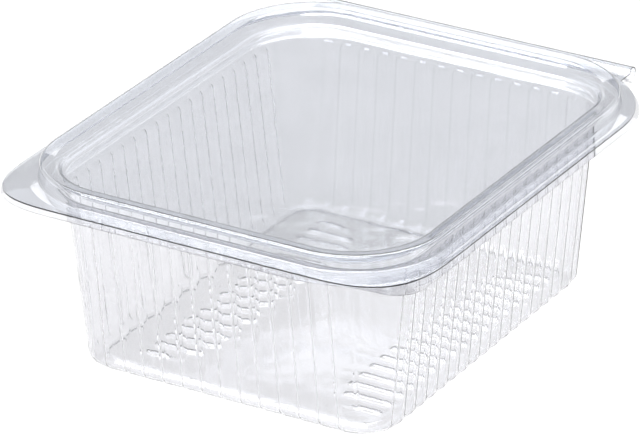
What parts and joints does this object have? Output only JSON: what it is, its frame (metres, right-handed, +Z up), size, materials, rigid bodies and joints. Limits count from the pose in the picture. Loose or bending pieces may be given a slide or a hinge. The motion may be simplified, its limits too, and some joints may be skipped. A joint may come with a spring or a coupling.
{
  "type": "hinged-lid takeaway container",
  "caption": "Clear hinged-lid takeaway container: a ribbed rectangular tub with a flange and ridged floor, and a flanged lid with a raised bead and a sunk flat panel.",
  "frame": {"origin": "middle of the whole object's outline seen from above, on the surface that the tub stands on", "axes": "+Z up, +X along the hinge, +Y towards the hinge at the back; the opening tab is at the front right"},
  "size_m": [0.142, 0.1686, 0.0639],
  "materials": {
    "clear_tub": "clear thermoformed sheet, smooth and glossy",
    "clear_lid": "clear thermoformed sheet, smooth and glossy"
  },
  "bodies": {
    "base": {"tub": "clear_tub"},
    "cover": {"lid": "clear_lid"}
  },
  "joints": [
    {"name": "lid_hinge", "type": "hinge", "parent": "base", "child": "cover", "pos_m": [0, 0.08435, 0.0577], "axis": [-1, 0, 0], "range_deg": [0, 180]}
  ]
}
